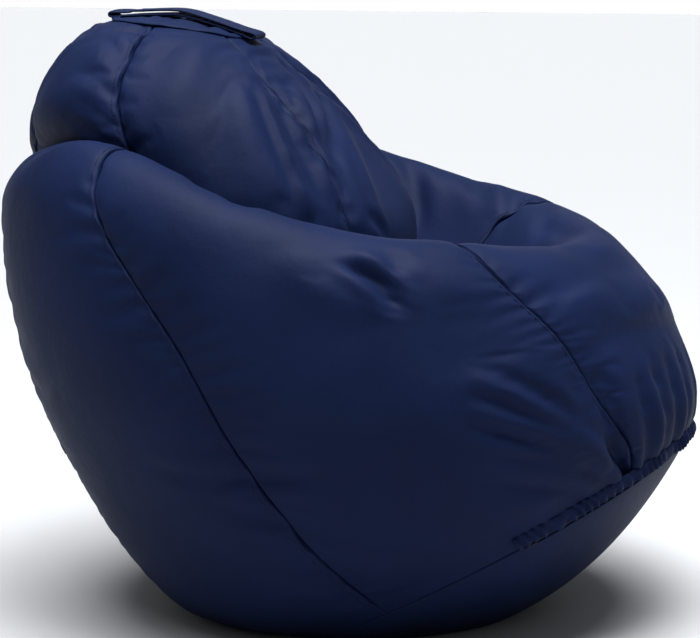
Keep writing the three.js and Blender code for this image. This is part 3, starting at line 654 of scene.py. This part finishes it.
skinThing = newObject("skin", meshFrom("skin", skinMesh))
skinPoints = pointsOf(skinThing.data)
skinNormals = normalsOf(skinThing.data)
skinPoints = skinPoints + skinNormals * foldShift(skinPoints, skinNormals)[:, None]
movePoints(skinThing.data, skinPoints)
skinPoints = drapeSkin(skinThing, skinPoints)
movePoints(skinThing.data, skinPoints)
print("skin folded and settled")


# ---- sewing: the seams sink, the allowance under their back side stands up, its stitches sink ----
sewing = {
    "groove": 0.0022, "grooveWidth": 0.0014, "pull": 0.0025, "pullWidth": 0.022,
    "welt": 0.0009, "weltWidth": 0.0085, "stitchDip": 0.0009, "stitchDipWidth": 0.0013,
    "pucker": 0.0008, "puckerWidth": 0.016, "puckerPitch": 0.012, "beadSize": 0.07, "beadHeight": 0.0012,
    "weltFrom": 0.0006, "flatFrom": 0.012, "fullOver": 0.03, "puckerSeed": 3.1, "beadSeed": 8.3,
}


def sewSkin():
    seamGap, nearestSeam = fromSeam()
    backSide = np.sign(nearestSeam) * seamGap
    away = np.abs(seamGap)
    onBody = (skinLevel > baseEdge) & (skinLevel < capEdge)
    fromEdge = np.linalg.norm(skinPoints - skinLine(baseEdge), axis=1)
    calm = np.clip((fromEdge - sewing["flatFrom"]) / sewing["fullOver"], 0, 1) * onBody
    move = -sewing["groove"] * np.exp(-(away / sewing["grooveWidth"]) ** 2)
    move = move - sewing["pull"] * np.exp(-away / sewing["pullWidth"])
    move = move + sewing["welt"] * ((backSide > sewing["weltFrom"]) & (backSide < sewing["weltWidth"]))
    dip = np.exp(-((backSide - sewing["weltWidth"]) / sewing["stitchDipWidth"]) ** 2)
    move = move - sewing["stitchDip"] * dip
    ripple = softNoise(skinPoints, sewing["puckerPitch"], sewing["puckerSeed"])
    move = move + sewing["pucker"] * ripple * np.exp(-away / sewing["puckerWidth"])
    unevenness = softNoise(skinPoints, sewing["beadSize"], sewing["beadSeed"])
    move = (move + sewing["beadHeight"] * unevenness) * calm
    sewn = skinPoints + normalsOf(skinThing.data) * move[:, None]
    floor = np.where(skinLevel > baseEdge, skin["floorLift"], skin["baseLift"])
    sewn[:, 2] = np.maximum(sewn[:, 2], floor)
    return sewn


skinPoints = sewSkin()
movePoints(skinThing.data, skinPoints)
skinNormals = normalsOf(skinThing.data)
grid = np.zeros((rowTotal, columnTotal), int)
grid[skinRow, skinColumn] = np.arange(len(skinPoints))
grid[0] = grid[0].max()
grid[-1] = grid[-1].max()

# ---- panels: the skin cut into its sewn pieces, each with its border turned in ----
panels = {
    "thickness": 0.0012, "gap": 0.00025, "turnIn": 0.006, "turnInLift": 0.003, "zipperSpan": 59.5,
    "flat": {                # width, length and area of each cut piece
        "front_panel": (0.58, 1.24, 0.401), "front_left_panel": (0.56, 1.24, 0.419),
        "front_right_panel": (0.56, 1.24, 0.419), "back_left_panel": (0.50, 1.28, 0.360),
        "back_right_panel": (0.50, 1.28, 0.360), "back_panel": (0.46, 1.20, 0.308),
        "base_panel": (0.66, 0.66, 0.318), "top_cap": (0.19, 0.19, 0.027),
    },
}
goreNames = ("back", "back_right", "front_right", "front", "front_left", "back_left")


def inSlot(i):
    gore = wrapDegrees(math.degrees(skinGore[i]))
    return abs(gore) < panels["zipperSpan"] and abs(skinRow[i] - edgeRow) <= 1


def makePanel(name, columns, rows):
    # a grid of the skin's own points, with the zipper's slot left open and the other borders turned in
    bm = bmesh.new()
    bmesh.ops.create_grid(bm, x_segments=len(columns) - 1, y_segments=len(rows) - 1, size=1)
    source = bm.verts.layers.int.new("skin")
    for vert in bm.verts:
        column = columns[round((vert.co.x / 2 + 0.5) * (len(columns) - 1))] % columnTotal
        row = rows[round((vert.co.y / 2 + 0.5) * (len(rows) - 1))]
        vert[source] = int(grid[row, column])
    for vert in bm.verts:
        vert.co = skinPoints[vert[source]]
    bmesh.ops.remove_doubles(bm, verts=bm.verts, dist=1e-7)
    bare = [face for face in bm.faces if all(inSlot(vert[source]) for vert in face.verts)]
    bmesh.ops.delete(bm, geom=bare, context="FACES")
    rim = [edge for edge in bm.edges if edge.is_boundary]
    inward = {}
    for edge in rim:
        middle = edge.link_faces[0].calc_center_median()
        for vert in edge.verts:
            inward[vert] = inward.get(vert, Vector()) + (middle - vert.co).normalized()
    turned = [edge for edge in rim if not any(inSlot(vert[source]) for vert in edge.verts)]
    for vert, way in inward.items():
        vert.co += way.normalized() * panels["gap"]
    made = bmesh.ops.extrude_edge_only(bm, edges=turned)
    fresh = {item for item in made["geom"] if isinstance(item, bmesh.types.BMVert)}
    for vert in fresh:
        old = next(e.other_vert(vert) for e in vert.link_edges if e.other_vert(vert) not in fresh)
        vert.co = old.co - Vector(skinNormals[old[source]]) * panels["turnIn"]
        vert.co.z = max(vert.co.z, panels["turnInLift"])
    bmesh.ops.recalc_face_normals(bm, faces=bm.faces)
    outwards = sum(face.normal.dot(Vector(skinNormals[face.verts[0][source]])) for face in bm.faces)
    if outwards < 0:
        bmesh.ops.reverse_faces(bm, faces=bm.faces)
    thing = newObject("fabric_" + name, meshFrom(name, bm))
    if len(columns) < columnTotal:
        # the round pieces have a pole, which a subdivision surface is slow on, and are fine enough
        addModifier(thing, "SUBSURF", levels=1, render_levels=1)
    addModifier(thing, "SOLIDIFY", thickness=panels["thickness"], offset=-1)
    return thing


pieces = {}
panelPlans = {"base_panel": (range(columnTotal + 1), range(edgeRow + 1)),
              "top_cap": (range(columnTotal + 1), range(capRow, rowTotal))}
for i, goreName in enumerate(goreNames):
    middle = 2 * skin["halfGore"] * i
    reach = skin["halfGore"]
    panelPlans[goreName + "_panel"] = (range(middle - reach, middle + reach + 1), range(edgeRow, capRow + 1))
for name, (columns, rows) in panelPlans.items():
    piece = makePanel(name, list(columns), list(rows))
    addPiece(piece, "cover", name)
    pieces[name] = piece
print("panels cut")


# ---- strips that follow the skin near the base edge and the cap ----
def skinPlaces(gore, distance, lift, start=baseEdge):
    # points a distance above the base edge, or another level, standing off the outline by lift
    gore, distance, lift = (np.asarray(v, float).ravel() for v in (gore, distance, lift))
    level = levelAt(gore, start, distance)
    here = surfacePoints(gore, level)
    sideways = surfacePoints(gore + 1e-3, level) - here
    upwards = surfacePoints(gore, level + 1e-3) - here
    return here + unit(np.cross(sideways, upwards)) * lift[:, None]


def tubeMesh(name, around, along, shape, closed=False):
    # a tube of square cells: shape takes shares round and along it, and gives its points
    bm = bmesh.new()
    bmesh.ops.create_grid(bm, x_segments=around, y_segments=along, size=1)
    bm.verts.ensure_lookup_table()
    flat = np.array([v.co[:2] for v in bm.verts]) / 2 + 0.5
    for vert, place in zip(bm.verts, shape(flat[:, 0], flat[:, 1])):
        vert.co = place
    bmesh.ops.remove_doubles(bm, verts=bm.verts, dist=1e-6)
    if not closed:
        bmesh.ops.holes_fill(bm, edges=[e for e in bm.edges if e.is_boundary], sides=0)
    bmesh.ops.recalc_face_normals(bm, faces=bm.faces)
    return newObject(name, meshFrom(name, bm))


band = {
    "span": 60, "low": 0.0078, "width": 0.0175, "thick": 0.0024, "liftLow": 0.0072, "liftHigh": 0.0004,
    "ribPitch": 0.0125, "rib": 0.0034, "cells": 640, "around": 20,
}


def bandShape(around, along):
    # a ruched hem: a flattened roll that stands out over the slot, pinched into uneven ribs
    gore = np.radians(band["span"]) * (2 * along - 1)
    turn = 2 * np.pi * around
    run = along * 2 * math.radians(band["span"]) * bag["baseRadius"] / band["ribPitch"]
    wobble = np.array([noise.noise(Vector((r * 0.31, 3.7, 0.2))) for r in run])
    rib = np.cos(2 * np.pi * (run + 1.3 * wobble))
    strength = 0.65 + 0.7 * np.array([noise.noise(Vector((r * 0.45, 9.1, 4.4))) for r in run])
    lean = 0.12 * np.sin(2 * np.pi * (run * 0.37 + wobble))
    swell = 1 + 0.55 * rib * strength
    middle = band["low"] + band["width"] / 2
    across = middle + band["width"] / 2 * np.cos(turn)
    share = (np.cos(turn) + 1) / 2
    lift = band["liftLow"] + (band["liftHigh"] - band["liftLow"]) * share
    lift = lift + band["thick"] * np.sin(turn) * swell
    lift = lift + band["rib"] * (rib * strength - 0.3) * (1 - 0.6 * share) * (np.sin(turn) > -0.2)
    return skinPlaces(gore + lean * 0.01 * np.cos(turn), np.maximum(across, 0.004), lift)


ruched = tubeMesh("ruched_band", band["around"], band["cells"], bandShape)
addPiece(ruched, "cover", "gathering_band")
print("ruched band sewn on")

# ---- carry loop: a folded strap lying over the cap ----
strap = {
    "width": 0.048, "thickness": 0.0024, "curl": 0.0024, "cells": 150, "around": 28,
    "twist": 0.0007, "flutter": 0.0004, "bend": 0.0022,
    "between": ([0.126, 0.2, 0.24, 0.339], [0.788, 0.8065, 0.818, 0.8105]),     # the gap between layers
    "line": [(0.3385, 0.8100), (0.3360, 0.8045), (0.3000, 0.8068), (0.2400, 0.8077), (0.1950, 0.7974),
             (0.1500, 0.7835), (0.1330, 0.7765), (0.1262, 0.7805), (0.1330, 0.7845), (0.1500, 0.7890),
             (0.1950, 0.8032), (0.2400, 0.8140), (0.3000, 0.8130), (0.3340, 0.8132)],
}


def closedLine(points, count):
    # evenly spaced places on a closed smooth line, with their directions
    knots = np.array(points)
    total = len(knots)
    dense = []
    for k in range(total):
        around = [knots[(k + j) % total] for j in (-1, 0, 1, 2)]
        dense += [between(*around, t) for t in np.arange(12) / 12]
    dense = np.array(dense + dense[:1])
    run = runOf(dense)
    wanted = np.linspace(0, run[-1], count)
    line = np.stack([np.interp(wanted, run, dense[:, i]) for i in (0, 1)], axis=1)
    ahead = unit(np.roll(line[:-1], -1, axis=0) - np.roll(line[:-1], 1, axis=0))
    return line, np.concatenate([ahead, ahead[:1]])


def strapShape(around, along):
    cells = strap["cells"]
    line, ahead = closedLine(strap["line"], cells + 1)
    at = np.rint(along * cells).astype(int) % cells
    turn = 2 * np.pi * around
    side = np.sign(np.cos(turn)) * np.abs(np.cos(turn)) ** 0.35 * strap["width"] / 2
    face = np.sign(np.sin(turn)) * np.abs(np.sin(turn)) ** 0.5 * strap["thickness"] / 2
    share = np.abs(side) / (strap["width"] / 2)
    swell = 1 + 0.9 * np.exp(-((share - 0.88) / 0.10) ** 2) - 0.25 * np.exp(-((share - 0.80) / 0.05) ** 2)
    onTop = line[at, 1] > np.interp(line[at, 0], *strap["between"])
    normal = np.stack([-ahead[at, 1], ahead[at, 0]], axis=1)
    offset = normal * (face * swell)[:, None]
    wave = strap["twist"] * np.sin(along * 40) * (side / strap["width"] * 2)
    wave = wave + strap["flutter"] * np.sin(along * 67 + side * 90)
    height = line[at, 1] + offset[:, 1] + (wave - strap["curl"] * share ** 2.5) * onTop
    bend = strap["bend"] * np.sin(along * 9.0)
    return np.stack([side + bend, line[at, 0] + offset[:, 0], height], axis=1)


loop = tubeMesh("carry_loop", strap["around"], strap["cells"], strapShape, closed=True)
addModifier(loop, "SUBSURF", levels=1, render_levels=1)
addPiece(loop, "handle", "carry_handle")
print("carry loop made")

# ---- cap hem: a narrow bound strip on the cap's edge ----
hem = {"width": 0.012, "thick": 0.0016, "lift": 0.0012, "cells": 260, "around": 14}


def hemShape(around, along):
    gore = 2 * np.pi * along
    turn = 2 * np.pi * around
    across = 0.002 + hem["width"] / 2 * np.sign(np.cos(turn)) * np.abs(np.cos(turn)) ** 0.6
    ripple = np.array([noise.noise(Vector((math.sin(g) * 4.2, math.cos(g) * 4.2, 1.7))) for g in gore])
    lift = hem["lift"] + hem["thick"] * np.sin(turn) * (1 + 0.3 * ripple) + 0.0012 * ripple
    return skinPlaces(gore, across, lift, start=capEdge)


hemStrip = tubeMesh("cap_hem", hem["around"], hem["cells"], hemShape, closed=True)
addPiece(hemStrip, "cover")
print("cap hem made")

# ---- liner and beads inside the cover ----
inside = {
    "linerDepth": 0.0062, "linerThickness": 0.0008, "beadDepth": 0.0095, "skip": 4, "floorDepth": 0.0078,
    "clear": 6, "channel": 0.007, "lowLevel": 6,
}


def foldDepths():
    # how deep the folds reach near each place, so that what is inside stays clear of them
    flat = surfacePoints(skinGore, skinLevel)
    deep = ((flat - skinPoints) * skinNormals).sum(axis=1)
    table = deep[grid]
    for _ in range(inside["clear"]):
        wider = [np.roll(table, 1, axis=1), np.roll(table, -1, axis=1)]
        wider += [np.concatenate([table[1:], table[-1:]]), np.concatenate([table[:1], table[:-1]])]
        table = np.maximum(table, np.maximum.reduce(wider))
    found = np.zeros(len(deep))
    found[grid] = table
    return np.clip(found, 0, None), flat


def insideMesh(name, depth, floorHeight, keep):
    # a coarser copy of the outline, moved inwards past the folds; keep says which rows stay
    step = inside["skip"]
    rows = np.unique(np.concatenate([[0], np.arange(2, edgeRow, step), [edgeRow],
                                     np.arange(edgeRow + 4, rowTotal - 1, step), [rowTotal - 1]]))
    rows = rows[keep(rows)]
    columns = np.arange(0, columnTotal, step)
    bm = bmesh.new()
    bmesh.ops.create_grid(bm, x_segments=len(columns), y_segments=len(rows) - 1, size=1)
    bm.verts.ensure_lookup_table()
    flat = np.array([v.co[:2] for v in bm.verts]) / 2 + 0.5
    column = columns[np.rint(flat[:, 0] * len(columns)).astype(int) % len(columns)]
    row = rows[np.rint(flat[:, 1] * (len(rows) - 1)).astype(int)]
    ids = grid[row, column]
    places = outline[ids] - outlineNormals[ids] * (depth + foldDepth[ids])[:, None]
    low = skinLevel[ids] < inside["lowLevel"]
    places[:, 2] = np.where(low, np.maximum(places[:, 2], floorHeight), places[:, 2])
    for vert, place in zip(bm.verts, places):
        vert.co = place
    bmesh.ops.remove_doubles(bm, verts=bm.verts, dist=1e-5)
    bmesh.ops.dissolve_degenerate(bm, edges=bm.edges, dist=1e-6)
    bmesh.ops.recalc_face_normals(bm, faces=bm.faces)
    return newObject(name, meshFrom(name, bm))


foldDepth, outline = foldDepths()
movePoints(skinThing.data, outline)
outlineNormals = normalsOf(skinThing.data)
linerPieces = []
for name, replaced, keep, flat, area in (
        ("liner_sack", "liner_body", lambda r: r >= edgeRow, (2.0, 1.2), 2.2),
        ("liner_floor", "liner_base", lambda r: r <= edgeRow, (0.62, 0.62), 0.30)):
    liner = insideMesh(name, inside["linerDepth"], inside["floorDepth"], keep)
    addModifier(liner, "SOLIDIFY", thickness=inside["linerThickness"], offset=-1)
    addPiece(liner, "cover", replaced)
    linerPieces.append(liner)

beadFloor = inside["floorDepth"] + inside["channel"]
beads = insideMesh("bead_filling", inside["beadDepth"], beadFloor, lambda r: r >= 0)
addPiece(beads, "cover", "bead_fill")
print("liner and beads made")


# ---- stitches: a thread that runs above the fabric and dips through it, beside each seam ----
stitching = {
    "pitch": 0.0052, "thread": 0.00042, "above": 0.0003, "below": 0.0016, "perStitch": 5, "round": 5,
    "column": 4,        # the skin's column 8.5 mm from the seam
}


def threadShape(line, normals):
    run = runOf(line)
    cells = int(run[-1] / stitching["pitch"]) * stitching["perStitch"]
    wanted = np.linspace(0, run[-1], cells + 1)
    place = np.stack([np.interp(wanted, run, line[:, i]) for i in range(3)], axis=1)
    out = unit(np.stack([np.interp(wanted, run, normals[:, i]) for i in range(3)], axis=1))
    dips = np.arange(cells + 1) % stitching["perStitch"] == 0
    place = place + out * np.where(dips, -stitching["below"], stitching["above"])[:, None]
    side = unit(np.cross(out, np.gradient(place, axis=0)))
    up = unit(np.cross(np.gradient(place, axis=0), side))

    def shape(around, along):
        at = np.rint(along * cells).astype(int)
        turn = 2 * np.pi * around
        ring = side[at] * np.cos(turn)[:, None] + up[at] * np.sin(turn)[:, None]
        return place[at] + ring * stitching["thread"]
    return cells, shape


def seamStitches():
    made = []
    half = skin["halfGore"]
    for i, seam in enumerate(seamAngles):
        towards = 1 if seam > 0 else -1
        column = (half * (2 * i + 1) + towards * stitching["column"]) % columnTotal
        ids = grid[edgeRow + 4:capRow - 2, column]
        cells, shape = threadShape(skinPoints[ids], skinNormals[ids])
        made.append(tubeMesh(f"seam_thread_{i}", stitching["round"], cells, shape))
    return made


stitches = seamStitches()
for thread in stitches:
    addPiece(thread, "cover")
print("stitches sewn")


# ---- materials ----
def startMaterial(name):
    material = bpy.data.materials.new(name)
    material.use_nodes = True
    tree = material.node_tree
    place = addNode(tree, "ShaderNodeTexCoord").outputs["Object"]
    return material, tree, tree.nodes["Principled BSDF"], place


def addRamp(tree, factor, low, high):
    # low and high are a place on the ramp and its colour
    ramp = addNode(tree, "ShaderNodeValToRGB", {}, {"Fac": factor})
    for element, (position, colour) in zip(ramp.color_ramp.elements, (low, high)):
        element.position = position
        element.color = linear(colour)
    return ramp.outputs["Color"]


def fabricMaterial(name, colour, dark, roughness=0.55):
    # plain woven cloth with a thin coating: crossed threads, drawn at 1.1 mm so that they hold together
    # from where the camera stands, with a faint crumple
    material, tree, shader, at = startMaterial(name)
    patches = addNode(tree, "ShaderNodeTexNoise", {"Scale": 6.0, "Detail": 4.0}, {"Vector": at})
    fine = addNode(tree, "ShaderNodeTexNoise", {"Scale": 900.0, "Detail": 2.0}, {"Vector": at})
    mixed = addNode(tree, "ShaderNodeMath", {1: 0.35}, {0: fine.outputs["Fac"]}, operation="MULTIPLY")
    total = addNode(tree, "ShaderNodeMath", {}, {0: patches.outputs["Fac"], 1: mixed.outputs[0]},
                    operation="ADD")
    base = addRamp(tree, total.outputs[0], (0.45, dark), (0.9, colour))
    tree.links.new(base, shader.inputs["Base Color"])
    threadPitch = 0.0011
    waveUnit = 3.2          # a wave texture repeats this many times in one unit at scale 1
    heights = []
    for direction in ("X", "Y", "Z"):
        wave = addNode(tree, "ShaderNodeTexWave", {"Scale": 1 / threadPitch / waveUnit, "Distortion": 0.6},
                       {"Vector": at}, bands_direction=direction)
        heights.append(wave.outputs["Fac"])
    crossed = addNode(tree, "ShaderNodeMath", {}, {0: heights[0], 1: heights[1]}, operation="MULTIPLY")
    woven = addNode(tree, "ShaderNodeMath", {}, {0: crossed.outputs[0], 1: heights[2]}, operation="ADD")
    crumpled = addNode(tree, "ShaderNodeTexNoise", {"Scale": 26.0, "Detail": 5.0, "Roughness": 0.55},
                       {"Vector": at})
    threads = addNode(tree, "ShaderNodeBump", {"Strength": 0.22, "Distance": 0.0004},
                      {"Height": woven.outputs[0]})
    crumple = addNode(tree, "ShaderNodeBump", {"Strength": 0.35, "Distance": 0.004},
                      {"Height": crumpled.outputs["Fac"], "Normal": threads.outputs["Normal"]})
    tree.links.new(crumple.outputs["Normal"], shader.inputs["Normal"])
    shader.inputs["Roughness"].default_value = roughness
    shader.inputs["IOR"].default_value = 1.5
    shader.inputs["Specular IOR Level"].default_value = 0.05
    shader.inputs["Sheen Weight"].default_value = 0.025
    shader.inputs["Sheen Roughness"].default_value = 0.4
    shader.inputs["Sheen Tint"].default_value = linear("#7f93c8")
    return material


def grainMaterial(name, colour, dark, roughness, metallic=0.0, scale=300.0, bump=0.2, distance=0.0003):
    # one colour broken up by a fine raised grain
    material, tree, shader, at = startMaterial(name)
    grain = addNode(tree, "ShaderNodeTexNoise", {"Scale": scale, "Detail": 4.0}, {"Vector": at})
    base = addRamp(tree, grain.outputs["Fac"], (0.35, dark), (0.65, colour))
    raised = addNode(tree, "ShaderNodeBump", {"Strength": bump, "Distance": distance},
                     {"Height": grain.outputs["Fac"]})
    tree.links.new(base, shader.inputs["Base Color"])
    tree.links.new(raised.outputs["Normal"], shader.inputs["Normal"])
    shader.inputs["Roughness"].default_value = roughness
    shader.inputs["Specular IOR Level"].default_value = 0.15
    shader.inputs["Metallic"].default_value = metallic
    return material


finishes = {
    "cover": fabricMaterial("coated polyester Oxford", "#0f1a39", "#0b1530"),
    "strap": fabricMaterial("folded Oxford strap", "#101b3a", "#0b142c", roughness=0.6),
    "thread": grainMaterial("spun polyester thread", "#0d1733", "#091026", 0.7, scale=2500),
    "tape": grainMaterial("woven zipper tape", "#141d3a", "#0d142b", 0.8, scale=1800),
    "coil": grainMaterial("nylon coil", "#10182f", "#0a1022", 0.4, scale=1500),
    "metal": grainMaterial("enamelled zinc", "#171c2c", "#0f1320", 0.35, metallic=0.6, scale=400,
                           bump=0.05),
    "liner": grainMaterial("spun polypropylene", "#e9e9e6", "#d6d6d2", 0.75, scale=500, bump=0.4),
    "beads": grainMaterial("expanded polystyrene beads", "#f4f4f2", "#dddddb", 0.6, scale=350, bump=1.0,
                           distance=0.003),
}
dressed = {
    "cover": list(pieces.values()) + [ruched, hemStrip], "strap": [loop], "thread": stitches,
    "liner": linerPieces, "beads": [beads],
}
for finish, things in dressed.items():
    for thing in things:
        thing.data.materials.append(finishes[finish])
nodeFinish = {
    "zipper_tape": "tape", "zipper_teeth": "coil", "zipper_slider": "metal", "zipper_top_stop": "metal",
    "zipper_bottom_stop": "metal", "liner_zipper_tape": "liner", "liner_zipper_teeth": "liner",
    "liner_zipper_slider": "liner", "liner_zipper_stop": "liner",
}
for name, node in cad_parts.items():
    for start, finish in nodeFinish.items():
        if name.startswith(start):
            if not node.material_slots:
                node.data.materials.append(finishes[finish])
            for materialSlot in node.material_slots:
                materialSlot.link = "OBJECT"
                materialSlot.material = finishes[finish]

bpy.data.objects.remove(skinThing)
